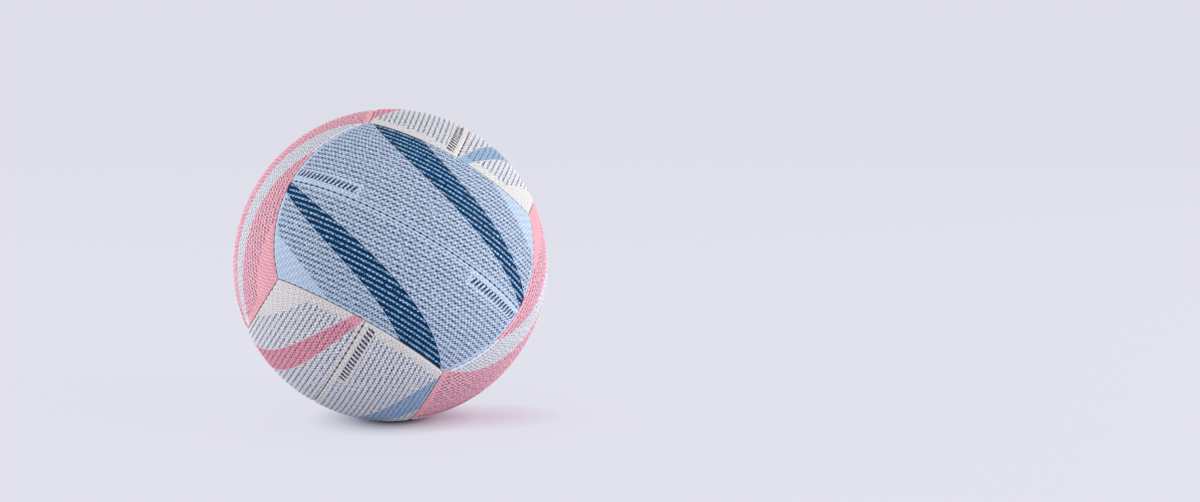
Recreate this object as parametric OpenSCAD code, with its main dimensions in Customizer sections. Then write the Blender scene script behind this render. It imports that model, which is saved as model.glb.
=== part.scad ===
// A size 5 netball: twelve rubber panels, each lined with laminated cloth, hand sewn over a bladder.
// Millimetres. The ball's centre is the origin, +Z is up, and the ball lies as it rests on a floor.
//
// A panel is a strip of the ball. Two strips side by side make each of the six faces of the ball,
// and the strips of one face end against a long side of a strip of the next face.
// One panel is described in a plain position and copied to its twelve places:
// its face looks along +X, its middle seam lies in the plane z = 0, and its length runs along Y.

/* [Ball] */
// Girth of the pumped ball
ball_girth = 700; // [620:5:760]
// Lean of a curved seam, in degrees, from a plane square to the ball's axis
seam_lean = 3; // [0:0.5:6]
// Roll of the resting ball about the middle of its front face, in degrees
rest_roll = -32.9; // [-180:0.1:180]
// Tip of the front face's middle above level, in degrees
rest_tip = 20.4; // [-90:0.1:90]
// Swing of the front face's middle, in degrees, round from +X
rest_swing = -80.4; // [-180:0.1:180]

/* [Rubber cover] */
// Thickness of the rubber
cover_t = 1.2; // [0.9:0.05:1.6]
// Gap between the two turned-in edges of a seam
seam_gap = 0.1; // [0.05:0.05:0.3]
// Rounding of the rubber where it turns into a seam
shoulder_r = 0.8; // [0.5:0.05:1.2]
// Turned-in edge left beyond the stitches
seam_margin = 0.8; // [0.5:0.1:2]

/* [Cloth backing] */
// Thickness of the laminated cloth
backing_t = 1.1; // [0.7:0.05:1.6]
// Glue line between two bonded layers
bond_gap = 0.05; // [0.02:0.01:0.1]

/* [Stitching] */
// Distance from stitch to stitch
stitch_pitch = 5; // [4:0.25:8]
// Width of the thread, which is drawn square
thread_w = 0.8; // [0.5:0.05:1]
// Room round a thread
thread_room = 0.1; // [0.05:0.05:0.2]

/* [Bladder] */
// Thickness of the bladder
bladder_t = 0.7; // [0.6:0.05:1.2]
// Gap between the bladder and the sewn cover
bladder_gap = 0.1; // [0.05:0.05:0.3]
// Diameter of the balance patch
patch_d = 30; // [20:1:40]
// Thickness of the balance patch
patch_t = 1.6; // [1:0.1:3]

/* [Valve] */
// Bore for the inflation needle
needle_d = 2; // [1.6:0.1:2.4]
// Diameter of the valve's core
core_d = 4.6; // [4:0.1:6]
// Length of the valve's core
core_length = 7; // [5:0.25:8]
// Room round the core in its pocket
core_room = 0.04; // [0.02:0.01:0.1]
// Diameter of the valve's stem
stem_d = 10.5; // [9:0.25:13]
// Room round the stem in the bladder, the backing and the cover
stem_room = 0.15; // [0.1:0.05:0.3]
// Depth of the stem's top below the cover
stem_recess = 0.4; // [0.2:0.1:1]
// Length of the stem below the inside of the bladder
stem_tail = 6; // [5:0.25:8]
// Diameter of the valve's foot, bonded to the inside of the bladder
foot_d = 30; // [24:1:40]
// Thickness of the valve's foot
foot_t = 1; // [0.8:0.1:1.6]
// Duct from the core to the inside of the bladder
duct_d = 3; // [2.5:0.25:3.5]

/* [Hidden] */
$fn = 96;
// Sides of the rounding of a shoulder.
shoulder_fn = 36;

// The ball has three pairs of faces, each pair with its own colour.
FACES = ["blue", "pink", "white"];
// The two faces of each pair, and the two panels of a face, as they lie at rest.
SIDES = [["front", "rear"], ["right", "left"], ["top", "bottom"]];
HALVES = [["upper", "lower"], ["front", "rear"], ["right", "left"]];
// Half turns that carry a face pair's first panel to its other three, and the side and half of each.
HALF_TURNS = [[0, 0, 0], [180, 0, 0], [0, 180, 0], [0, 0, 180]];
SIDE_OF_TURN = [0, 0, 1, 1];
HALF_OF_TURN = [0, 1, 1, 0];
// The face pair and the half turn of the panel that holds the valve.
VALVE_PANEL = [0, 3];
COVER_COLOURS = [[0.66, 0.74, 0.87], [0.92, 0.62, 0.68], [0.88, 0.87, 0.89]];
CLOTH = [0.86, 0.83, 0.76];
THREAD = [0.2, 0.22, 0.28];
BUTYL = [0.16, 0.16, 0.17];
VALVE_RUBBER = [0.24, 0.25, 0.27];

function face_name(i, k) = str(FACES[i], "_", SIDES[i][k]);
function panel_name(i, j) = str(face_name(i, SIDE_OF_TURN[j]), "_", HALVES[i][HALF_OF_TURN[j]]);

// Lengths worked out from the driving dimensions.
// How far a cut runs past what it cuts.
overrun = 1;
ball_r = ball_girth / (2 * PI);
wall_stack = cover_t + bond_gap + backing_t;
// A stitch is pulled thinner than the thread where it crosses the seam.
stitch_share = 0.88;
stitch_w = stitch_share * thread_w;
hole_w = stitch_w + 2 * thread_room;
rail_offset = seam_gap / 2 + wall_stack + thread_room + thread_w / 2;
// How far the thread stands out to either side of its seam.
rail_reach = rail_offset + thread_w / 2;
stitch_depth = wall_stack + thread_room + hole_w / 2;
seam_depth = stitch_depth + hole_w / 2 + seam_margin;
stitch_r = ball_r - stitch_depth;
// A seam's thread ends clear of the thread of the seam that it runs into.
rail_end = rail_reach + thread_room;
first_stitch = rail_end + thread_w;
// The bladder bulges into each panel, and its crown stands in from the threads.
crown_inset = wall_stack + bladder_gap;
crown_set = rail_reach + thread_room;
bladder_core_r = ball_r - seam_depth - bladder_gap;
bladder_crown_r = ball_r - crown_inset;
// What is bonded inside the bladder lies against this radius.
pad_r = bladder_crown_r - bladder_t - bond_gap;
stem_top = ball_r - stem_recess;
stem_end = pad_r - foot_t - stem_tail;

// Directions on the ball, in degrees.
// A curved seam is a circle about an axis that leans by seam_lean, at seam_angle from that axis.
seam_angle = acos((cos(seam_lean) - sin(seam_lean)) / sqrt(3));
edge_sweep = atan2(1, cos(seam_lean) + sin(seam_lean));
mid_sweep = seam_angle - seam_lean;
// Height of a panel's middle above its middle seam.
panel_middle = (90 - seam_angle + seam_lean) / 2;
// Angle at which a rounded shoulder leaves the surface and the seam wall.
shoulder_slant = 10;
// The cones and blocks that part the panels start inside the ball and end outside it.
cut_foot_share = 0.3;
cut_top_share = 1.2;
cut_foot = cut_foot_share * ball_r;
cut_top = cut_top_share * ball_r;

// Carries the plain position of the whole ball to where it rests.
module at_rest() rotate([rest_roll, -rest_tip, rest_swing]) children();

// Carries a thing from the faces at +X and -X to the same place on a later face pair.
module to_face(i) {
    if (i == 0) children();
    else rotate([90, 0, 90]) to_face(i - 1) children();
}

// Places a thing of one panel, and a thing of the middle seam of one face.
module place_panel(i, j) at_rest() to_face(i) rotate(HALF_TURNS[j]) children();
module place_face(i, k) at_rest() to_face(i) rotate([0, 0, 180 * k]) children();

// Turns the Z axis to the axis of the panel's long side, and X towards the middle of that side.
module long_side() rotate([0, -seam_lean, 0]) children();

// Turns the Z axis to the axis of the panel's end at +Y or -Y, and X towards the end's T junction.
module end_side(side) rotate([0, 0, -side * seam_lean]) rotate([0, 90, 0]) rotate([0, 0, 90 * side])
    children();

// Turns the Z axis to point out through the middle of the panel.
module panel_centre() rotate([0, 90 - panel_middle, 0]) children();

// The cone of seam_angle about Z, moved so that its wall stands in by set.
// Like the shell below, it is turned so that its own starting line lies away from the panel.
module seam_cone(set) translate([0, 0, cut_foot + set / sin(seam_angle)]) rotate([0, 0, 180])
    cylinder(h = cut_top - cut_foot, r1 = cut_foot * tan(seam_angle), r2 = cut_top * tan(seam_angle));

module shell(outer_r, inner_r) rotate([0, 0, 180]) difference() {
    sphere(r = outer_r);
    sphere(r = inner_r);
}

// All that lies past the panel's end at +Y or -Y, on that side of the ball.
module past_end(side, set) difference() {
    translate([-overrun, side > 0 ? cut_foot : -cut_top, -overrun])
        cube([cut_top, cut_top - cut_foot, cut_top]);
    end_side(side) seam_cone(set);
}

// The stretch of a shell that lies within one panel, set in from the panel's three seams.
module panel_shell(outer_r, inner_r, set) difference() {
    intersection() {
        shell(outer_r, inner_r);
        translate([0, -cut_top, set]) cube([cut_top, 2 * cut_top, cut_top]);
    }
    long_side() seam_cone(-set);
    for (side = [-1, 1]) past_end(side, set);
}

// Turns a flat profile round Z. The profile's +X lies along the ball's radius, at the given angle
// from Z, and its +Y points towards Z.
module seam_profile(angle, sweep) rotate_extrude(angle = sweep) rotate(90 - angle) children();

// The corner that is cut off a panel beside a seam, on the side towards Z.
module shoulder_cut() {
    reach = shoulder_r * (cos(shoulder_slant) - sin(shoulder_slant));
    centre = shoulder_r * cos(shoulder_slant);
    translate([ball_r, seam_gap / 2]) difference() {
        translate([-reach, -overrun]) square(reach + overrun);
        translate([-centre, centre]) circle(r = shoulder_r, $fn = shoulder_fn);
    }
}

// Distances of the stitches from the middle of a seam, on one side of it.
function stitch_row(from, half_length) = [for (s = [from:stitch_pitch:half_length - first_stitch]) s];
function degrees_along(length, angle) = length / (stitch_r * sin(angle)) * 180 / PI;
function half_length(angle, sweep) = sweep * PI / 180 * stitch_r * sin(angle);
edge_half = half_length(seam_angle, edge_sweep);
mid_half = half_length(90, mid_sweep);
edge_row = stitch_row(first_stitch, edge_half);
mid_row = stitch_row(stitch_pitch / 2, mid_half);

// A square bar across a seam at each of the given distances from the seam's middle.
module across_seam(angle, row, width, length) for (s = row)
    rotate([0, 0, degrees_along(s - width / 2, angle)])
        seam_profile(angle, degrees_along(width, angle))
            translate([stitch_r, 0]) square([width, length], center = true);

// The stitch holes of a seam, through every layer on both of its sides.
module stitch_holes(angle, row)
    across_seam(angle, row, hole_w, 2 * (rail_reach + thread_room));

module panel_holes() {
    stitch_holes(90, concat(-mid_row, mid_row));
    long_side() stitch_holes(seam_angle, concat(-edge_row, edge_row));
    for (side = [-1, 1]) end_side(side) stitch_holes(seam_angle, side * edge_row);
}

// The hole that the valve's stem passes through.
module stem_hole() panel_centre()
    cylinder(h = cut_top, d = stem_d + 2 * stem_room);

// A length of thread beside a seam, between two distances from the seam's middle.
module rail(angle, side, from, to) rotate([0, 0, degrees_along(from, angle)])
    seam_profile(angle, degrees_along(to - from, angle))
        translate([stitch_r, side * rail_offset]) square(thread_w, center = true);

// A full panel with its shoulders rounded, one seam at a time because the roundings meet.
module rounded_panel() difference() {
    difference() {
        difference() {
            difference() {
                panel_shell(ball_r, ball_r - seam_depth, seam_gap / 2);
                long_side() seam_profile(seam_angle, 360) mirror([0, 1]) shoulder_cut();
            }
            seam_profile(90, 360) shoulder_cut();
        }
        end_side(1) seam_profile(seam_angle, 360) shoulder_cut();
    }
    end_side(-1) seam_profile(seam_angle, 360) shoulder_cut();
}

// What a layer with its inner face at the given depth leaves room for, down past its turned-in edges.
module panel_tray(depth)
    panel_shell(ball_r - depth, ball_r - seam_depth - overrun, seam_gap / 2 + depth);

module cover_panel(has_valve) difference() {
    difference() {
        rounded_panel();
        panel_tray(cover_t);
    }
    panel_holes();
    if (has_valve) stem_hole();
}

module backing_panel(has_valve) difference() {
    outer = cover_t + bond_gap;
    panel_shell(ball_r - outer, ball_r - seam_depth, seam_gap / 2 + outer);
    panel_tray(wall_stack);
    panel_holes();
    if (has_valve) stem_hole();
}

// The seam between a panel's long side and the ends of two others.
// Its thread is whole beside the long side, and parted where the two ends meet.
module edge_thread() long_side() {
    rail(seam_angle, -1, -edge_half + rail_end, edge_half - rail_end);
    rail(seam_angle, 1, -edge_half + rail_end, -rail_end);
    rail(seam_angle, 1, rail_end, edge_half - rail_end);
    across_seam(seam_angle, concat(-edge_row, edge_row), stitch_w, 2 * rail_offset);
}

// The seam between the two panels of one face.
module mid_thread() {
    for (side = [-1, 1]) rail(90, side, -mid_half + rail_end, mid_half - rail_end);
    across_seam(90, concat(-mid_row, mid_row), stitch_w, 2 * rail_offset);
}

// The bladder's form, with all its faces moved in by set: a ball, and a crown under each panel.
module bladder_form(set) {
    sphere(r = bladder_core_r - set);
    for (i = [0:2], j = [0:3]) place_panel(i, j) panel_shell(
        bladder_crown_r - set, bladder_core_r - set - bladder_t, crown_set + set
    );
}

// A round pad bonded to the inside of the bladder under the middle of a panel.
module inside_pad(d, thickness) intersection() {
    shell(pad_r, pad_r - thickness);
    cylinder(h = ball_r, d = d);
}

module cover(i, j) color(COVER_COLOURS[i]) place_panel(i, j) cover_panel([i, j] == VALVE_PANEL);
module backing(i, j) color(CLOTH) place_panel(i, j) backing_panel([i, j] == VALVE_PANEL);
module edge_seam(i, j) color(THREAD) place_panel(i, j) edge_thread();
module mid_seam(i, k) color(THREAD) place_face(i, k) mid_thread();

module at_valve() place_panel(VALVE_PANEL[0], VALVE_PANEL[1]) children();

module bladder() color(BUTYL) difference() {
    bladder_form(0);
    bladder_form(bladder_t);
    at_valve() stem_hole();
}

module balance_patch() color(BUTYL) at_valve() panel_centre() rotate([180, 0, 0])
    inside_pad(patch_d, patch_t);

module valve_body() color(VALVE_RUBBER) at_valve() panel_centre() difference() {
    union() {
        inside_pad(foot_d, foot_t);
        translate([0, 0, stem_end]) cylinder(h = stem_top - stem_end, d = stem_d);
    }
    translate([0, 0, stem_top - core_length])
        cylinder(h = core_length + overrun, d = core_d + 2 * core_room);
    translate([0, 0, stem_end - overrun]) cylinder(h = stem_top - stem_end, d = duct_d);
}

module valve_core() color(VALVE_RUBBER) at_valve() panel_centre()
    translate([0, 0, stem_top - core_length]) difference() {
        cylinder(h = core_length, d = core_d);
        translate([0, 0, -overrun]) cylinder(h = core_length + 2 * overrun, d = needle_d);
    }

for (i = [0:2], j = [0:3]) {
    cover(i, j);
    backing(i, j);
    edge_seam(i, j);
}
for (i = [0:2], k = [0:1])
    mid_seam(i, k);
bladder();
balance_patch();
valve_body();
valve_core();
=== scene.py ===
from math import asin, atan2, cos, pi, radians, sin, sqrt

import bpy
import numpy as np
from mathutils import Matrix, Vector


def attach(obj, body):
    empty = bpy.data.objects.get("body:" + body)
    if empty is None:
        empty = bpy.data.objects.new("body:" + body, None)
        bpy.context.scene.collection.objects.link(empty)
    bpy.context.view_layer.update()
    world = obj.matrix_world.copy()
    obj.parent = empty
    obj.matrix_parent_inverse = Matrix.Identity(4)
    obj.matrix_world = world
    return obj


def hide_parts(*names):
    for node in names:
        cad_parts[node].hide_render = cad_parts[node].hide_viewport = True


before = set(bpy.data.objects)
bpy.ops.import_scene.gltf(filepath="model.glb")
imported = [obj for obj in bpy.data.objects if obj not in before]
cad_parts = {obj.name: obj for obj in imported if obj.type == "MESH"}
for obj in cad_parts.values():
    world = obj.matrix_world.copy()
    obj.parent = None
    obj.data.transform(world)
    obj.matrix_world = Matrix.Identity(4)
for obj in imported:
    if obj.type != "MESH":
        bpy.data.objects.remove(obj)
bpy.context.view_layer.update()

MM = 0.001

# The ball, with the same driving sizes as the CAD
BALL_GIRTH = 0.7
BALL_R = BALL_GIRTH / (2 * pi)
# How far the planes of the curved seams lean from those of the straight ones
SEAM_LEAN = radians(3)
# The turns that lay the ball down as in the photograph
REST_ROLL = radians(-32.9)
REST_TIP = radians(20.4)
REST_SWING = radians(-80.4)
# A panel's wall, how deep its edges turn in, the gap between two edges, and the valve's stem
COVER_T = 1.2 * MM
SEAM_DEPTH = 4.154 * MM
SEAM_GAP = 0.1 * MM
STEM_D = 10.5 * MM
STEM_ROOM = 0.15 * MM

# A curved seam's angle from its axis, half the sweep of a middle seam, and the height of a panel's
# middle above its middle seam
SEAM_ANGLE = float(np.arccos((cos(SEAM_LEAN) - sin(SEAM_LEAN)) / sqrt(3)))
MID_SWEEP = SEAM_ANGLE - SEAM_LEAN
PANEL_MIDDLE = (pi / 2 - SEAM_ANGLE + SEAM_LEAN) / 2
LONG_SIDE_AXIS = Vector((-sin(SEAM_LEAN), 0, cos(SEAM_LEAN)))
END_AXES = [Vector((cos(SEAM_LEAN), -side * sin(SEAM_LEAN), 0)) for side in (1, -1)]

# Names of the faces and panels, and the turns that carry the plain panel to its places
FACES = ("blue", "pink", "white")
SIDES = (("front", "rear"), ("right", "left"), ("top", "bottom"))
HALVES = (("upper", "lower"), ("front", "rear"), ("right", "left"))
HALF_TURNS = (None, "X", "Y", "Z")
SIDE_OF_TURN = (0, 0, 1, 1)
HALF_OF_TURN = (0, 1, 1, 0)
VALVE_PANEL = (0, 3)


def panel_name(face, turn):
    return "_".join((FACES[face], SIDES[face][SIDE_OF_TURN[turn]], HALVES[face][HALF_OF_TURN[turn]]))


def panel_place(face, turn):
    at_rest = (
        Matrix.Rotation(REST_SWING, 4, "Z")
        @ Matrix.Rotation(-REST_TIP, 4, "Y")
        @ Matrix.Rotation(REST_ROLL, 4, "X")
    )
    next_face = Matrix.Rotation(pi / 2, 4, "Z") @ Matrix.Rotation(pi / 2, 4, "X")
    place = at_rest
    for _ in range(face):
        place = place @ next_face
    if HALF_TURNS[turn]:
        place = place @ Matrix.Rotation(pi, 4, HALF_TURNS[turn])
    return place


# The flat panel's grid. Its underside is coarser, with one line for each six of the outside.
COLUMNS = 372
ROWS = 132
UNDERSIDE_STEP = 6
FLAT_MERGE = 0.001
# Section of a panel's edge: how far each ring stands in from the seam, and how deep it lies
EDGE_RINGS = (
    (0.95 * MM, 0.0),
    (0.6 * MM, 0.05 * MM),
    (0.34 * MM, 0.16 * MM),
    (0.17 * MM, 0.34 * MM),
    (0.09 * MM, 0.6 * MM),
    (SEAM_GAP / 2, 1.0 * MM),
    (SEAM_GAP / 2, SEAM_DEPTH),
    (SEAM_GAP / 2 + COVER_T, SEAM_DEPTH),
    (SEAM_GAP / 2 + COVER_T, COVER_T),
)
LAST_RING = len(EDGE_RINGS) - 1
# The first rings belong to the outside, and the others to the turned-in edge and the underside.
OUTSIDE_RINGS = 6
SETTLING_ROUNDS = 8

# A pimple stands on every sixth line of the grid, with another between each four. Waves that don't
# repeat together, given in radians for each row and each column, sway them out of line.
PIMPLE_LINES = 6
PIMPLE_H = 0.55 * MM
PIMPLE_POINT = 1.2
PIMPLE_SWAY = 0.38
SWAY_WAVES = ((0.83, 0.29), (0.37, -0.71))
CLIMB_WAVES = ((-0.33, 0.77), (0.65, 0.41))
SMOOTH_RIM_LINES = 2
# The smooth rim of a panel lies between the hollows, at 0, and the tops, at 1, in its ink wear, its
# painted shade and its painted highlight.
RIM_WEAR_AND_PAINTED_LIGHT = 0.55

# The outside sinks towards its seams, and each stitch draws it in.
SEAM_DIP = 0.2 * MM
SEAM_DIP_REACH = 2.0 * MM
STITCH_PITCH = 5 * MM
FIRST_MID_STITCH = STITCH_PITCH / 2
FIRST_EDGE_STITCH = 4.2 * MM
STITCH_DEPTH = 2.9 * MM
STITCH_R = BALL_R - STITCH_DEPTH
PUCKER_LENGTH = 0.95 * MM
PUCKER_REACH = 1.3 * MM
PUCKER_DEPTH = 0.3 * MM
PUCKER_SET_IN = 0.3 * MM

PUNCH_SIDES = 96
PUNCH_LENGTH = 20 * MM

# Layout of the map for baked colours: the middle and half the size of each part, and how much wider
# each ring lies than the one before it
BAKE_U = (0.5, 0.46)
BAKE_OUTSIDE_V = (0.6, 0.37)
BAKE_UNDERSIDE_V = (0.1, 0.07)
BAKE_RING_STEP = 0.004


def directions(spots):
    return spots / np.linalg.norm(spots, axis=1, keepdims=True)


def panel_spots(across, up, set_in, depth):
    """Points on the panel. Across runs from -1 to 1, from end to end, and up from 0 at the middle
    seam to 1 at the long side."""
    low = set_in / BALL_R
    lon = across * MID_SWEEP
    # The two angles of a point depend on each other, and settle in a few rounds.
    for _ in range(SETTLING_ROUNDS):
        lean = sin(SEAM_LEAN) * np.cos(lon)
        reach = np.arcsin(np.cos(SEAM_ANGLE + low) / np.hypot(cos(SEAM_LEAN), lean))
        top = reach + np.arctan2(lean, cos(SEAM_LEAN))
        lat = low + up * (top - low)
        lon = across * (np.arccos(np.cos(SEAM_ANGLE - low) / np.cos(lat)) - SEAM_LEAN)
    radius = BALL_R - depth
    x = radius * np.cos(lat) * np.cos(lon)
    y = radius * np.cos(lat) * np.sin(lon)
    z = radius * np.sin(lat)
    return np.stack([x, y, z], 1)


def seam_distances(spots):
    """Distance of each point from the middle seam, the long side and the two ends, along the ball."""
    way = directions(spots)
    angles = [np.arcsin(way[:, 2]), np.arccos(way @ np.array(LONG_SIDE_AXIS)) - SEAM_ANGLE]
    angles += [SEAM_ANGLE - np.arccos(way @ np.array(axis)) for axis in END_AXES]
    return np.stack(angles, 1) * BALL_R


def stitch_rows():
    """For each of a panel's four seams: its axis, a direction towards its middle, its radius and
    the places of its stitches to one side of that middle."""
    edge_radius = STITCH_R * sin(SEAM_ANGLE)
    edge_half = atan2(1, cos(SEAM_LEAN) + sin(SEAM_LEAN)) * edge_radius
    mid_half = MID_SWEEP * STITCH_R
    mid = np.arange(FIRST_MID_STITCH, mid_half - FIRST_EDGE_STITCH, STITCH_PITCH)
    edge = np.arange(FIRST_EDGE_STITCH, edge_half - FIRST_EDGE_STITCH, STITCH_PITCH)
    seams = [(Vector((0, 0, 1)), Vector((1, 0, 0)), STITCH_R, mid)]
    seams.append((LONG_SIDE_AXIS, Vector((1, 0, 0)), edge_radius, edge))
    seams += [(axis, Vector((0, 0, 1)), edge_radius, edge) for axis in END_AXES]
    return seams


def stitch_pull(spots):
    """How much each point is drawn in by the stitches beside it, from 0 to 1."""
    way = directions(spots)
    pulls = []
    for axis, towards, radius, places in stitch_rows():
        ahead = (towards - axis * towards.dot(axis)).normalized()
        beside = axis.cross(ahead)
        turn = np.arctan2(way @ np.array(beside), way @ np.array(ahead))
        along = np.abs(turn) * radius
        nearest = np.min(np.abs(along[:, None] - places[None, :]), axis=1)
        pulls.append(np.exp(-((nearest / PUCKER_LENGTH) ** 2)))
    near = np.exp(-((np.maximum(seam_distances(spots), 0) / PUCKER_REACH) ** 2))
    return (np.stack(pulls, 1) * near).max(axis=1)


def swing(waves, row, column):
    """How many lines the pimples are moved at each place of the grid."""
    return PIMPLE_SWAY * sum(np.sin(down * row + over * column) for down, over in waves)


def pimple_heights(row, column):
    """Height at each place of the grid, from 0 in the hollows to 1 on the pimples' tops."""
    wave = 2 * pi / PIMPLE_LINES
    over = np.cos((column + swing(SWAY_WAVES, row, column)) * wave)
    down = np.cos((row + swing(CLIMB_WAVES, row, column)) * wave)
    return ((over * down + 1) / 2) ** PIMPLE_POINT


def positions(mesh):
    found = np.empty(len(mesh.vertices) * 3, np.float32)
    mesh.vertices.foreach_get("co", found)
    return found.reshape(-1, 3).astype(float)


def set_positions(mesh, spots):
    mesh.vertices.foreach_set("co", spots.astype(np.float32).ravel())
    mesh.update()


def mark(mesh, name, values):
    """Keeps a number or a direction for each point, for the finishes to read."""
    kind, key = ("FLOAT", "value") if values.ndim == 1 else ("FLOAT_VECTOR", "vector")
    layer = mesh.attributes.new(name, kind, "POINT")
    layer.data.foreach_set(key, values.astype(np.float32).ravel())


def lay_out_panel():
    """The flat panel, from -1 to 1 both ways: a fine grid, rings of faces drawn down from its rim,
    each one unit deep, and a coarse underside."""
    bpy.ops.object.select_all(action="DESELECT")
    bpy.ops.mesh.primitive_grid_add(x_subdivisions=COLUMNS, y_subdivisions=ROWS, size=2)
    panel = bpy.context.object
    bpy.ops.object.mode_set(mode="EDIT")
    bpy.ops.mesh.select_mode(type="EDGE")
    bpy.ops.mesh.select_all(action="SELECT")
    bpy.ops.mesh.region_to_loop()
    for _ in range(LAST_RING):
        bpy.ops.mesh.extrude_edges_move(TRANSFORM_OT_translate={"value": (0, 0, -1)})
    bpy.ops.mesh.select_all(action="DESELECT")
    bpy.ops.mesh.primitive_grid_add(
        x_subdivisions=COLUMNS // UNDERSIDE_STEP,
        y_subdivisions=ROWS // UNDERSIDE_STEP,
        size=2,
        location=(0, 0, -LAST_RING),
    )
    # Its rim is cut as finely as the outside's, and the two rims become one.
    bpy.ops.mesh.region_to_loop()
    bpy.ops.mesh.subdivide(number_cuts=UNDERSIDE_STEP - 1)
    bpy.ops.mesh.select_all(action="SELECT")
    bpy.ops.mesh.remove_doubles(threshold=FLAT_MERGE)
    bpy.ops.mesh.normals_make_consistent(inside=False)
    bpy.ops.object.mode_set(mode="OBJECT")
    return panel


def add_bake_map(mesh, flat):
    """A map for baked colours. The outside fills most of it, and the underside lies below."""
    corner = np.empty(len(mesh.loops), np.int32)
    mesh.loops.foreach_get("vertex_index", corner)
    corners = np.empty(len(mesh.polygons), np.int32)
    mesh.polygons.foreach_get("loop_total", corners)
    face_of = np.repeat(np.arange(len(corners)), corners)
    ring = -flat[corner, 2]
    first_ring = np.full(len(corners), float(LAST_RING))
    np.minimum.at(first_ring, face_of, ring)
    underside = first_ring[face_of] > LAST_RING - 0.5
    wider = 1 + BAKE_RING_STEP * ring
    u = BAKE_U[0] + BAKE_U[1] * flat[corner, 0] * np.where(underside, 1, wider)
    outside_v = BAKE_OUTSIDE_V[0] + BAKE_OUTSIDE_V[1] * flat[corner, 1] * wider
    underside_v = BAKE_UNDERSIDE_V[0] + BAKE_UNDERSIDE_V[1] * flat[corner, 1]
    v = np.where(underside, underside_v, outside_v)
    layer = mesh.uv_layers.new(name="OFBake")
    layer.uv.foreach_set("vector", np.stack([u, v], 1).astype(np.float32).ravel())


def sew_panel():
    """The plain panel, laid on the ball with its pimples and its stitched edges. The pimples' tops
    lie on the ball's radius."""
    panel = lay_out_panel()
    mesh = panel.data
    flat = positions(mesh)
    add_bake_map(mesh, flat)
    ring = np.rint(-flat[:, 2]).astype(int)
    across = np.clip(flat[:, 0], -1, 1)
    up = np.clip((flat[:, 1] + 1) / 2, 0, 1)
    set_in = np.array([r[0] for r in EDGE_RINGS])[ring]
    depth = np.array([r[1] for r in EDGE_RINGS])[ring]
    spots = panel_spots(across, up, set_in, depth)

    outside = ring < OUTSIDE_RINGS
    near = np.maximum(seam_distances(spots), 0).min(axis=1)
    dip = SEAM_DIP * np.exp(-((near / SEAM_DIP_REACH) ** 2))
    pull = stitch_pull(spots) * outside
    depth = depth + outside * (PIMPLE_H + dip) + PUCKER_DEPTH * pull
    set_in = set_in + PUCKER_SET_IN * pull * (ring > 0)

    column = np.rint((across + 1) / 2 * COLUMNS)
    row = np.rint(up * ROWS)
    from_rim = np.minimum.reduce([column, COLUMNS - column, row, ROWS - row])
    full = (ring == 0) * np.clip(from_rim / SMOOTH_RIM_LINES, 0, 1)
    pimple = full * pimple_heights(row, column)
    depth = depth - PIMPLE_H * pimple
    set_positions(mesh, panel_spots(across, up, set_in, depth))
    # Pimple height, read for the ink's wear and for the painted shade in the hollows and the painted
    # highlight on the tops
    mark(mesh, "wear_and_painted_light", pimple + RIM_WEAR_AND_PAINTED_LIGHT * (1 - full))
    mark(mesh, "stitch_pull", pull)
    return panel


def cut_valve_hole(panel):
    """The round hole that the valve's stem stands in."""
    towards = Vector((cos(PANEL_MIDDLE), 0, sin(PANEL_MIDDLE)))
    bpy.ops.object.select_all(action="DESELECT")
    bpy.ops.mesh.primitive_cylinder_add(
        vertices=PUNCH_SIDES,
        radius=STEM_D / 2 + STEM_ROOM,
        depth=PUNCH_LENGTH,
        location=towards * BALL_R,
        rotation=towards.to_track_quat("Z", "Y").to_euler(),
    )
    punch = bpy.context.object
    bpy.context.view_layer.objects.active = panel
    cut = panel.modifiers.new("valve_hole", "BOOLEAN")
    cut.operation = "DIFFERENCE"
    cut.solver = "EXACT"
    cut.object = punch
    bpy.ops.object.modifier_apply(modifier=cut.name)
    bpy.data.objects.remove(punch)


def mark_places(panel):
    """Each point's direction and its distances from the seams, in millimetres, for the print."""
    mesh = panel.data
    spots = positions(mesh)
    mark(mesh, "panel_spot", directions(spots))
    from_seams = seam_distances(spots) / MM
    mark(mesh, "seam_near", from_seams.min(axis=1))
    mark(mesh, "end_near", from_seams[:, 2:].min(axis=1))
    mesh.shade_smooth()


# Finishes
def srgb(red, green, blue):
    def linear(value):
        value /= 255
        return value / 12.92 if value <= 0.04045 else ((value + 0.055) / 1.055) ** 2.4

    return (linear(red), linear(green), linear(blue), 1)


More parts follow.
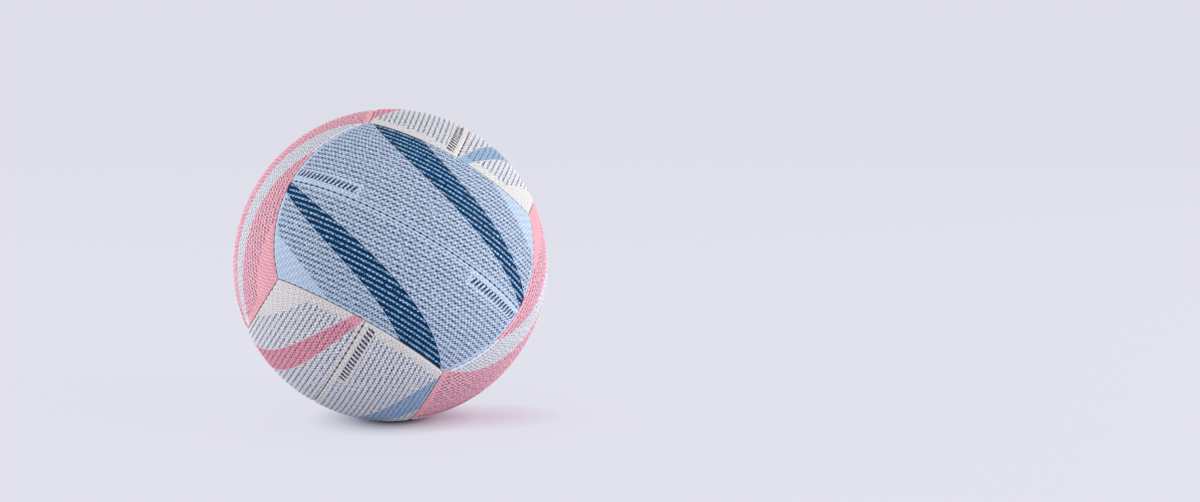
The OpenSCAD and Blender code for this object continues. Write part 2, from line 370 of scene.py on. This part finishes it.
class NodeTree:
    """Short ways to add the nodes that the finishes and the world need."""

    def __init__(self, tree):
        self.tree = tree

    def add(self, kind, **settings):
        node = self.tree.nodes.new("ShaderNode" + kind)
        for name, value in settings.items():
            setattr(node, name, value)
        return node

    def feed(self, socket, value):
        if isinstance(value, bpy.types.NodeSocket):
            self.tree.links.new(value, socket)
        else:
            socket.default_value = value

    def math(self, operation, *values):
        node = self.add("Math", operation=operation)
        for socket, value in zip(node.inputs, values):
            self.feed(socket, value)
        return node.outputs[0]

    def product(self, *values):
        result = values[0]
        for value in values[1:]:
            result = self.math("MULTIPLY", result, value)
        return result

    def minus(self, value, other):
        return self.math("SUBTRACT", value, other)

    def above(self, value, level):
        return self.math("GREATER_THAN", value, level)

    def below(self, value, level):
        return self.math("LESS_THAN", value, level)

    def within(self, value, low, high):
        return self.product(self.above(value, low), self.below(value, high))

    def length(self, x, y):
        return self.math("SQRT", self.math("ADD", self.product(x, x), self.product(y, y)))

    def polynomial(self, x, factors):
        """The factors start with the constant one."""
        result = factors[-1]
        for factor in reversed(factors[:-1]):
            result = self.math("MULTIPLY_ADD", result, x, factor)
        return result

    def spread(self, value, low, high, new_low, new_high):
        node = self.add("MapRange")
        for socket, number in zip(node.inputs, (value, low, high, new_low, new_high)):
            self.feed(socket, number)
        return node.outputs[0]

    def separate(self, vector):
        node = self.add("SeparateXYZ")
        self.feed(node.inputs[0], vector)
        return node.outputs

    def combine(self, x, y, z):
        node = self.add("CombineXYZ")
        for socket, value in zip(node.inputs, (x, y, z)):
            self.feed(socket, value)
        return node.outputs[0]

    def blend(self, share, first, second):
        node = self.add("Mix", data_type="RGBA")
        self.feed(node.inputs[0], share)
        self.feed(node.inputs[6], first)
        self.feed(node.inputs[7], second)
        return node.outputs[2]

    def blend_shaders(self, share, first, second):
        node = self.add("MixShader")
        for socket, value in zip(node.inputs, (share, first, second)):
            self.feed(socket, value)
        return node.outputs[0]

    def scale(self, colour, factor):
        node = self.add("VectorMath", operation="SCALE")
        self.feed(node.inputs[0], colour)
        self.feed(node.inputs["Scale"], factor)
        return node.outputs[0]

    def noise(self, place, scale, detail=2.0):
        node = self.add("TexNoise", noise_dimensions="3D")
        self.feed(node.inputs["Vector"], place)
        node.inputs["Scale"].default_value = scale
        node.inputs["Detail"].default_value = detail
        return node.outputs["Fac"]

    def object_place(self):
        return self.add("TexCoord").outputs["Object"]

    def attribute(self, name, output="Fac"):
        return self.add("Attribute", attribute_name=name).outputs[output]

    def in_sight(self):
        """1 for what the camera sees, also in a shine or through something clear."""
        path = self.add("LightPath")
        seen = self.math("MAXIMUM", path.outputs["Is Camera Ray"], path.outputs["Is Glossy Ray"])
        return self.math("MAXIMUM", seen, path.outputs["Is Transmission Ray"])


class Sheet(NodeTree):
    """A material and its nodes."""

    def __init__(self, name):
        self.material = bpy.data.materials.new(name)
        self.material.use_nodes = True
        super().__init__(self.material.node_tree)
        self.shader = self.tree.nodes["Principled BSDF"]

    def bump(self, height, distance, strength):
        node = self.add("Bump")
        node.inputs["Strength"].default_value = strength
        node.inputs["Distance"].default_value = distance
        self.feed(node.inputs["Height"], height)
        self.feed(self.shader.inputs["Normal"], node.outputs[0])


LIGHT_BLUE = srgb(192, 210, 232)
DARK_BLUE = srgb(0, 50, 92)
SKY_BLUE = srgb(158, 183, 210)
CREAM = srgb(221, 217, 215)
COOL_WHITE = srgb(225, 226, 231)
PINK = srgb(240, 174, 184)
MAUVE_PINK = srgb(242, 184, 197)
ROSE = srgb(230, 158, 174)
NAVY = srgb(30, 46, 82)
SLATE = srgb(72, 78, 100)
GLUE_AND_SHADE = srgb(74, 62, 58)
STITCH_PIT_SHADE = srgb(32, 30, 36)

# The printed stripe of a panel lies between two curves. Each gives the height above the middle seam
# as a polynomial of the place along the panel, both in radians.
STRIPE_LOW = (0.305, -0.32, 0.073, -0.073)
STRIPE_HIGH = (0.488, -0.41, 0.11, -0.152)
# Places in the print, in millimetres along the panel from its middle and up from its middle seam
BALL_R_MM = BALL_R / MM
STRIPE_RIM_CLEAR = 0.55
ROW_PITCH = 3.62
ROW_ARCH = 2.4
ROW_END_SPREAD = (-0.8, 1.2)
BARE_SEAM_BAND = 1.8
BARE_STRIP_END = -44.5
BARE_STRIP_TOP = 12.6
BARE_CORNER_SLANT = (165.0, -1.9)
BAR_ROW = (-96.5, -47.0)
BAR_HEIGHTS = (4.2, 9.6)
BAR_PITCH = 3.3
BAR_SHARE = 0.55
BAR_SLANT = 0.35
# The marks of a row follow a noise along it, which each row reads in another place. A mark starts
# thin at the first level and has the row's full width at the second. Widths are from the row's
# middle line, as a share of the pitch.
MARK_LENGTH = 0.95
MARK_ROW_SHIFT = 7.31
MARK_LEVELS = (0.38, 0.6)
MARK_THIN_SHARE = 0.6
STRIPE_MARK_THINNER = 0.05

# Glue, dirt and painted shade along the seams, and painted shade in the stitch pits: the distances
# from the seam, in millimetres, between which they fade, how dark they are at most, and how much a
# stitch pulls where a pit starts and where it is deepest
GLUE_AND_SHADE_BAND = (0.05, 0.45)
GLUE_AND_SHADE_SHARE = 0.85
PIT_BAND = (0.4, 1.1)
PIT_PULL = (0.2, 0.65)
PIT_SHARE = 0.95

# Wear, dust, painted shade and painted highlight. Nearly all of a noise lies in the wide range, and
# most of it in the middle one. The ink's cover and the tone change between two values, across a cloud
# or up the side of a pimple.
WIDE_NOISE = (0.25, 0.75)
MIDDLE_NOISE = (0.3, 0.7)
CLOUD_SCALE = 38.0
CLOUD_INK = (0.85, 1.0)
CLOUD_TONE = (0.97, 1.03)
PIMPLE_SIDE = (0.2, 0.8)
BAR_INK = (1.0, 0.8)
# The pimples' tops get a painted highlight, full from the first level up
TOP_HIGHLIGHT_LEVEL = 0.9
TOP_PAINTED_HIGHLIGHT = 1.14
# Hollows that are bare of print hold this share of the dust and painted shade.
BARE_DUST_AND_SHADE = 0.75
GRAIN_SCALE = 2600.0
RUBBER_ROUGHNESS = (0.58, 0.72)


def stripe_depth(sheet, lat, lon):
    """How far inside the stripe a place is, in millimetres. It is negative outside."""
    above_low = sheet.minus(lat, sheet.polynomial(lon, STRIPE_LOW))
    below_high = sheet.minus(sheet.polynomial(lon, STRIPE_HIGH), lat)
    return sheet.product(sheet.math("MINIMUM", above_low, below_high), BALL_R_MM)


def row_field(sheet, row, bent, up, along, end_margin, seed):
    """1 where a panel has rows. They start and stop raggedly, and leave a band along the seams, the
    strip round the bars and one corner bare."""
    ragged = sheet.add("TexWhiteNoise", noise_dimensions="1D")
    sheet.feed(ragged.inputs["W"], sheet.math("ADD", row, seed))
    margins = [end_margin + more for more in ROW_END_SPREAD]
    row_margin = sheet.spread(ragged.outputs["Value"], 0.0, 1.0, *margins)
    in_strip = sheet.product(sheet.below(along, BARE_STRIP_END), sheet.below(bent, BARE_STRIP_TOP))
    slant_from, slant = BARE_CORNER_SLANT
    in_corner = sheet.above(along, sheet.math("MULTIPLY_ADD", up, slant, slant_from))
    return sheet.product(
        sheet.above(sheet.attribute("seam_near"), BARE_SEAM_BAND),
        sheet.above(sheet.attribute("end_near"), row_margin),
        sheet.minus(1.0, in_strip),
        sheet.minus(1.0, in_corner),
    )


def row_marks(sheet, rows, row, along, in_stripe, row_width, seed):
    """1 on the broken marks of the rows, which are thinner in the stripe."""
    from_line = sheet.math("ABSOLUTE", sheet.minus(sheet.math("FRACT", rows), 0.5))
    mark_place = sheet.combine(
        sheet.math("DIVIDE", along, MARK_LENGTH), sheet.product(row, MARK_ROW_SHIFT), float(seed)
    )
    marks = sheet.noise(mark_place, 1.0, detail=1.0)
    width = sheet.spread(marks, *MARK_LEVELS, MARK_THIN_SHARE * row_width, row_width)
    width = sheet.minus(width, sheet.product(in_stripe, STRIPE_MARK_THINNER))
    return sheet.product(sheet.below(from_line, width), sheet.above(marks, MARK_LEVELS[0]))


def bar_row(sheet, up, along):
    """1 on the row of plain slanted bars."""
    place = sheet.math("DIVIDE", sheet.math("MULTIPLY_ADD", up, -BAR_SLANT, along), BAR_PITCH)
    return sheet.product(
        sheet.within(along, *BAR_ROW),
        sheet.within(up, *BAR_HEIGHTS),
        sheet.below(sheet.math("FRACT", place), BAR_SHARE),
    )


def seams_glue_and_shade(sheet, colour):
    """Glue, dirt and painted shade darken the rubber where it turns into the seam, and painted shade
    darkens it most at the stitch pits.
    """
    near = sheet.attribute("seam_near")
    colour = sheet.blend(sheet.spread(near, *GLUE_AND_SHADE_BAND, GLUE_AND_SHADE_SHARE, 0.0), colour, GLUE_AND_SHADE)
    # Painted shade in the stitch pits
    pit = sheet.product(
        sheet.spread(sheet.attribute("stitch_pull"), *PIT_PULL, 0.0, PIT_SHARE),
        sheet.spread(near, *PIT_BAND, 1.0, 0.0),
    )
    return sheet.blend(pit, colour, STITCH_PIT_SHADE)


def printed_rubber(
    name, ground, field, stripe, ink, stripe_ink, row_width, end_margin, ink_cover, hollow_dust_and_shade, seed
):
    """Pimpled rubber with a stripe and rows of tiny broken marks that run along the panel. The cover
    of ink is given in the hollows and on the pimples' tops, first of the field and then the stripe."""
    sheet = Sheet(name)
    x, y, z = sheet.separate(sheet.attribute("panel_spot", "Vector"))
    lat = sheet.math("ARCSINE", z)
    lon = sheet.math("ARCTAN2", y, x)
    up = sheet.product(lat, BALL_R_MM)
    along = sheet.product(lon, BALL_R_MM * cos(PANEL_MIDDLE))
    into_stripe = stripe_depth(sheet, lat, lon)
    in_stripe = sheet.above(into_stripe, 0.0)
    clear_of_rim = sheet.above(sheet.math("ABSOLUTE", into_stripe), STRIPE_RIM_CLEAR)

    # The rows bend a little towards the panel's ends.
    bent = sheet.math("MULTIPLY_ADD", sheet.product(lon, lon), ROW_ARCH, up)
    rows = sheet.math("DIVIDE", bent, ROW_PITCH)
    row = sheet.math("FLOOR", rows)
    in_field = row_field(sheet, row, bent, up, along, end_margin, seed)
    marks = row_marks(sheet, rows, row, along, in_stripe, row_width, seed)
    marks = sheet.product(marks, clear_of_rim, in_field)

    wear_and_painted_light = sheet.attribute("wear_and_painted_light")
    place = sheet.object_place()
    cloud = sheet.noise(place, CLOUD_SCALE, detail=3.0)
    field_ink, stripe_area_ink = [sheet.spread(wear_and_painted_light, *PIMPLE_SIDE, *pair) for pair in ink_cover]
    inked = sheet.product(
        sheet.spread(cloud, *MIDDLE_NOISE, *CLOUD_INK),
        sheet.spread(in_stripe, 0.0, 1.0, field_ink, stripe_area_ink),
    )
    bars = sheet.product(bar_row(sheet, up, along), sheet.spread(wear_and_painted_light, *PIMPLE_SIDE, *BAR_INK))
    colour = sheet.blend(in_field, ground, field)
    colour = sheet.blend(in_stripe, colour, stripe)
    mark_colour = sheet.blend(in_stripe, ink, stripe_ink)
    colour = sheet.blend(sheet.product(marks, inked), colour, mark_colour)
    colour = sheet.blend(bars, colour, NAVY)
    colour = seams_glue_and_shade(sheet, colour)

    # Dust and painted shade darken the hollows between the pimples, and a painted highlight lightens
    # their tops.
    bare_hollow_dust_and_shade = 1 - BARE_DUST_AND_SHADE + BARE_DUST_AND_SHADE * hollow_dust_and_shade
    hollow = sheet.spread(in_field, 0.0, 1.0, bare_hollow_dust_and_shade, hollow_dust_and_shade)
    height_tone = sheet.spread(wear_and_painted_light, 0.0, TOP_HIGHLIGHT_LEVEL, hollow, TOP_PAINTED_HIGHLIGHT)
    tone = sheet.product(height_tone, sheet.spread(cloud, *WIDE_NOISE, *CLOUD_TONE))
    sheet.feed(sheet.shader.inputs["Base Color"], sheet.scale(colour, tone))

    grain = sheet.noise(place, GRAIN_SCALE)
    roughness = sheet.spread(grain, *MIDDLE_NOISE, *RUBBER_ROUGHNESS)
    sheet.feed(sheet.shader.inputs["Roughness"], roughness)
    sheet.shader.inputs["Specular IOR Level"].default_value = 0.08
    sheet.bump(grain, 0.05 * MM, 0.5)
    return sheet.material


def lining_cloth():
    """Laminated cloth: a plain weave with glue soaked in."""
    sheet = Sheet("lining_cloth")
    place = sheet.object_place()
    waves = []
    for axis in ("X", "Y", "Z"):
        wave = sheet.add("TexWave", wave_type="BANDS", bands_direction=axis)
        sheet.feed(wave.inputs["Vector"], place)
        wave.inputs["Scale"].default_value = 520
        wave.inputs["Distortion"].default_value = 0.6
        waves.append(wave.outputs["Fac"])
    weave = sheet.math("MAXIMUM", sheet.product(waves[0], waves[1]), waves[2])
    colour = sheet.blend(weave, srgb(196, 186, 164), srgb(224, 216, 198))
    glued = sheet.spread(sheet.noise(place, 60.0), 0.4, 0.7, 0.0, 0.4)
    sheet.feed(sheet.shader.inputs["Base Color"], sheet.blend(glued, colour, srgb(176, 160, 128)))
    sheet.shader.inputs["Roughness"].default_value = 0.85
    sheet.bump(weave, 0.15 * MM, 0.6)
    return sheet.material


def waxed_thread():
    """Dark waxed thread with its twist."""
    sheet = Sheet("waxed_thread")
    twist = sheet.add("TexWave", wave_type="BANDS", bands_direction="DIAGONAL")
    sheet.feed(twist.inputs["Vector"], sheet.object_place())
    twist.inputs["Scale"].default_value = 900
    colour = sheet.blend(twist.outputs["Fac"], srgb(34, 36, 44), srgb(70, 72, 82))
    sheet.feed(sheet.shader.inputs["Base Color"], colour)
    sheet.shader.inputs["Roughness"].default_value = 0.55
    sheet.bump(twist.outputs["Fac"], 0.1 * MM, 0.6)
    return sheet.material


def plain_rubber(name, dark, light, roughness):
    """Moulded rubber with a faint bloom."""
    sheet = Sheet(name)
    place = sheet.object_place()
    bloom = sheet.noise(place, 90.0, detail=4.0)
    colour = sheet.blend(sheet.spread(bloom, 0.35, 0.7, 0.0, 1.0), dark, light)
    sheet.feed(sheet.shader.inputs["Base Color"], colour)
    grain = sheet.noise(place, 1800.0)
    shine = sheet.spread(grain, *MIDDLE_NOISE, roughness, roughness + 0.12)
    sheet.feed(sheet.shader.inputs["Roughness"], shine)
    sheet.bump(grain, 0.04 * MM, 0.5)
    return sheet.material


BLUE_PRINT = printed_rubber(
    "blue_rubber_dark_stripe",
    ground=LIGHT_BLUE,
    field=LIGHT_BLUE,
    stripe=DARK_BLUE,
    ink=srgb(44, 62, 98),
    stripe_ink=srgb(168, 216, 252),
    row_width=0.275,
    end_margin=3.0,
    ink_cover=((1.0, 0.3), (0.45, 1.0)),
    hollow_dust_and_shade=0.36,
    seed=3,
)
PINK_PRINT = printed_rubber(
    "pink_rubber_white_stripe",
    ground=PINK,
    field=MAUVE_PINK,
    stripe=COOL_WHITE,
    ink=srgb(124, 60, 86),
    stripe_ink=srgb(130, 140, 164),
    row_width=0.22,
    end_margin=4.5,
    ink_cover=((1.0, 0.35), (1.0, 0.35)),
    hollow_dust_and_shade=0.42,
    seed=5,
)


def white_rubber(name, stripe, stripe_ink, seed):
    return printed_rubber(
        name,
        ground=CREAM,
        field=COOL_WHITE,
        stripe=stripe,
        ink=SLATE,
        stripe_ink=stripe_ink,
        row_width=0.2,
        end_margin=6.5,
        ink_cover=((1.0, 0.5), (1.0, 0.4)),
        hollow_dust_and_shade=0.44,
        seed=seed,
    )


WHITE_PRINTS = {
    "left": white_rubber("white_rubber_pink_stripe", ROSE, srgb(112, 54, 80), seed=7),
    "right": white_rubber("white_rubber_blue_stripe", SKY_BLUE, srgb(50, 72, 112), seed=9),
}


def panel_print(face, turn):
    if face == 0:
        return BLUE_PRINT
    if face == 1:
        return PINK_PRINT
    return WHITE_PRINTS[HALVES[face][HALF_OF_TURN[turn]]]


# The ball's twelve panels
plain_panel = sew_panel()
valve_panel = bpy.data.objects.new("valve_panel", plain_panel.data.copy())
bpy.context.scene.collection.objects.link(valve_panel)
cut_valve_hole(valve_panel)
for pattern in (plain_panel, valve_panel):
    mark_places(pattern)

for face in range(3):
    for turn in range(4):
        pattern = valve_panel if (face, turn) == VALVE_PANEL else plain_panel
        name = panel_name(face, turn)
        mesh = pattern.data.copy()
        mesh.name = "rubber_" + name
        mesh.transform(panel_place(face, turn))
        mesh.materials.clear()
        mesh.materials.append(panel_print(face, turn))
        piece = bpy.data.objects.new("rubber_" + name, mesh)
        bpy.context.scene.collection.objects.link(piece)
        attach(piece, "root")
        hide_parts("cover_" + name)
for pattern in (plain_panel, valve_panel):
    bpy.data.objects.remove(pattern)

# Finishes of the pieces that the CAD carries over, by the first word of their names
BLADDER_RUBBER = plain_rubber("bladder_rubber", srgb(40, 40, 42), srgb(62, 62, 64), 0.42)
SEWING_THREAD = waxed_thread()
CARRIED = {
    "backing": lining_cloth(),
    "edge": SEWING_THREAD,
    "mid": SEWING_THREAD,
    "bladder": BLADDER_RUBBER,
    "balance": BLADDER_RUBBER,
    "valve": plain_rubber("valve_rubber", srgb(58, 60, 64), srgb(84, 86, 90), 0.38),
}
for name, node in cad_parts.items():
    finish = CARRIED.get(name.split("_")[0])
    if finish:
        for slot in node.material_slots:
            slot.material = finish

# The sweep, which lies under the ball and curves up behind it
SWEEP_SIZE = 12
SWEEP_MIDDLE_Y = -2
SWEEP_RISE = 5
SWEEP_CURVE_R = 1.6
SWEEP_CURVE_STEPS = 24
SWEEP_COLOUR = srgb(226, 226, 237)
# Distances from the point of contact: the painted dark core of the ball's shadow, in the paper's
# colour, fades between the first two, and the sweep's own even light comes up between the others.
PAINTED_CORE_REACH = (0.012, 0.028)
OWN_LIGHT_REACH = (0.014, 0.062)
OWN_LIGHT_SHARE = 0.92
# Painted light on the floor at the right: a pink tint in the paper's colour for the pink panel's light
PAINTED_BOUNCE_COLOUR = srgb(209, 186, 203)
PAINTED_BOUNCE_PLACE = (0.042, -0.004)
PAINTED_BOUNCE_REACH = (0.085, 0.046)


def sweep_material():
    """Seamless paper. Away from the ball it mostly shows its own even colour, and close to the ball
    it shows the lamps' light, the ball's shadow with a painted dark core, and a painted pink light."""
    sheet = Sheet("pale_sweep")
    sheet.shader.inputs["Roughness"].default_value = 0.9
    sheet.shader.inputs["Specular IOR Level"].default_value = 0.1
    x, y, _ = sheet.separate(sheet.object_place())
    # Painted pink light on the paper, to the right of the ball
    bounce_x = sheet.math("DIVIDE", sheet.minus(x, PAINTED_BOUNCE_PLACE[0]), PAINTED_BOUNCE_REACH[0])
    bounce_y = sheet.math("DIVIDE", sheet.minus(y, PAINTED_BOUNCE_PLACE[1]), PAINTED_BOUNCE_REACH[1])
    painted_bounce = sheet.spread(sheet.length(bounce_x, bounce_y), 0.0, 1.0, 1.0, 0.0)
    paper = sheet.blend(painted_bounce, SWEEP_COLOUR, PAINTED_BOUNCE_COLOUR)
    away = sheet.length(x, y)
    # Painted shadow: the paper's colour goes dark close to the point of contact
    paper_with_painted_core = sheet.scale(paper, sheet.spread(away, *PAINTED_CORE_REACH, 0.0, 1.0))
    sheet.feed(sheet.shader.inputs["Base Color"], paper_with_painted_core)
    glow = sheet.add("Emission")
    sheet.feed(glow.inputs["Color"], paper)
    own_light = sheet.spread(away, *OWN_LIGHT_REACH, 0.0, OWN_LIGHT_SHARE)
    share = sheet.product(sheet.in_sight(), own_light)
    surface = sheet.blend_shaders(share, sheet.shader.outputs[0], glow.outputs[0])
    sheet.feed(sheet.tree.nodes["Material Output"].inputs["Surface"], surface)
    return sheet.material


def lay_sweep():
    """The floor, and the backdrop that it curves up into behind the ball."""
    bpy.ops.object.select_all(action="DESELECT")
    bpy.ops.mesh.primitive_plane_add(size=SWEEP_SIZE, location=(0, SWEEP_MIDDLE_Y, -BALL_R))
    sweep = bpy.context.object
    sweep.name = "pale_sweep"
    bpy.ops.object.transform_apply(location=True, rotation=True, scale=True)
    bpy.ops.object.mode_set(mode="EDIT")
    bpy.ops.mesh.select_mode(type="EDGE")
    bpy.ops.mesh.select_all(action="DESELECT")
    bpy.ops.object.mode_set(mode="OBJECT")
    far = max(v.co.y for v in sweep.data.vertices)
    for edge in sweep.data.edges:
        edge.select = all(abs(sweep.data.vertices[i].co.y - far) < MM for i in edge.vertices)
    bpy.ops.object.mode_set(mode="EDIT")
    bpy.ops.mesh.extrude_edges_move(TRANSFORM_OT_translate={"value": (0, 0, SWEEP_RISE)})
    bpy.ops.object.mode_set(mode="OBJECT")
    curve = sweep.modifiers.new("curve_up", "BEVEL")
    curve.width = SWEEP_CURVE_R
    curve.segments = SWEEP_CURVE_STEPS
    bpy.ops.object.modifier_apply(modifier=curve.name)
    sweep.data.shade_smooth()
    sweep.data.materials.append(sweep_material())


# Round soft boxes that look at the ball: name, place, width and power in watts
LAMPS = (
    ("key_softbox", (1.8, -0.8, 0.8), 1.4, 28),
    ("left_softbox", (-1.7, -0.5, 0.6), 1.3, 14),
    ("top_softbox", (-0.1, 0.3, 2.1), 1.6, 12),
    ("low_fill", (1.1, -1.5, 0.0), 1.0, 7),
    ("right_rim", (1.7, 0.6, 0.3), 0.9, 5),
    ("left_rim", (-1.7, 0.5, 0.3), 0.9, 10),
)
WORLD_COLOUR = srgb(232, 233, 242)
WORLD_STRENGTH = 0.5


def set_lamps():
    for name, place, width, power in LAMPS:
        light = bpy.data.lights.new(name, "AREA")
        light.shape = "DISK"
        light.size = width
        light.energy = power
        holder = bpy.data.objects.new(name, light)
        bpy.context.scene.collection.objects.link(holder)
        holder.location = place
        holder.rotation_euler = (-Vector(place)).to_track_quat("-Z", "Y").to_euler()


def light_world():
    """An even pale world, which looks like the sweep where the camera sees it."""
    world = bpy.data.worlds.new("studio")
    bpy.context.scene.world = world
    world.use_nodes = True
    nodes = NodeTree(world.node_tree)
    around = nodes.tree.nodes["Background"]
    around.inputs["Color"].default_value = WORLD_COLOUR
    around.inputs["Strength"].default_value = WORLD_STRENGTH
    seen = nodes.add("Background")
    seen.inputs["Color"].default_value = SWEEP_COLOUR
    both = nodes.blend_shaders(nodes.in_sight(), around.outputs[0], seen.outputs[0])
    nodes.feed(nodes.tree.nodes["World Output"].inputs["Surface"], both)


# The camera sees the ball's centre at this spot of a 1200 by 502 frame, from 9 degrees above level.
FRAME_W, FRAME_H = 1200, 502
BALL_AT = (391.5, 265)
VIEW_FROM = radians(9)
CAMERA_AWAY = 1.475
FOCAL_PX = 2052
SENSOR_W_MM = 36


def set_camera():
    data = bpy.data.cameras.new("camera")
    camera = bpy.data.objects.new("camera", data)
    bpy.context.scene.collection.objects.link(camera)
    data.sensor_width = SENSOR_W_MM
    data.lens = FOCAL_PX / FRAME_W * SENSOR_W_MM
    camera.location = (0, -CAMERA_AWAY * cos(VIEW_FROM), CAMERA_AWAY * sin(VIEW_FROM))
    right = (BALL_AT[0] - FRAME_W / 2) / FOCAL_PX
    rise = -(BALL_AT[1] - FRAME_H / 2) / FOCAL_PX
    length = sqrt(1 + right**2 + rise**2)
    # The pitch and the turn that carry the frame's ray to the ball's centre
    pitch = asin(sin(-VIEW_FROM) * length / sqrt(1 + rise**2)) - atan2(rise, 1)
    turn = atan2(right, cos(pitch) - rise * sin(pitch))
    camera.rotation_euler = (pi / 2 + pitch, 0, turn)
    bpy.context.scene.camera = camera


lay_sweep()
set_lamps()
light_world()
set_camera()
bpy.context.scene.view_settings.view_transform = "Standard"
